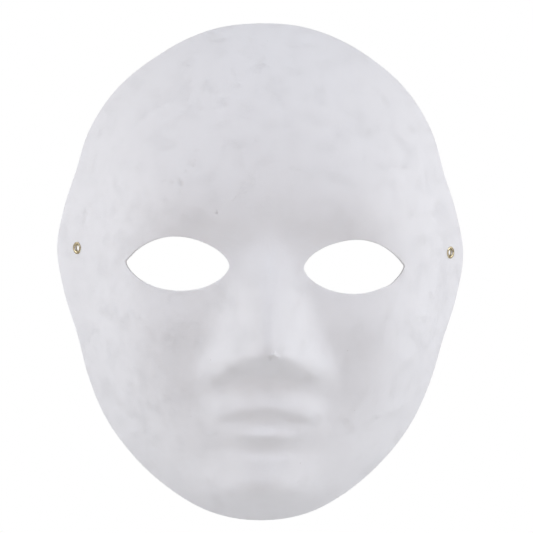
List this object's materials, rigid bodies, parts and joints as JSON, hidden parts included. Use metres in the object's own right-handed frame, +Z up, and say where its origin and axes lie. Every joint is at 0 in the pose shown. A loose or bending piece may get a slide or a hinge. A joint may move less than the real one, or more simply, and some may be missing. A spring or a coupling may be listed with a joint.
{
  "type": "full-face mask",
  "caption": "Blank egg-shaped full-face mask of moulded paper pulp with almond eye openings, a wedge nose, soft closed lips and brass eyelets at the temples.",
  "frame": {"origin": "on the inner surface of the sheet over the nose bridge, on the midline at half the height of the mask", "axes": "upright as worn: +Z up, the face looks along -Y, the wearer is on the +Y side, +X is the wearer's left"},
  "size_m": [0.1982, 0.0814, 0.2409],
  "materials": {
    "paper_pulp": "matt white moulded pulp, finely fibrous in front and rougher inside",
    "eyelet_brass": "rolled yellow brass, lightly tarnished in the throat",
    "washer_brass": "stamped brass, slightly duller than the flange"
  },
  "bodies": {
    "root": {"mask_shell": "paper_pulp", "eyelet_left": "eyelet_brass", "eyelet_right": "eyelet_brass", "eyelet_washer_left": "washer_brass", "eyelet_washer_right": "washer_brass"}
  },
  "joints": []
}
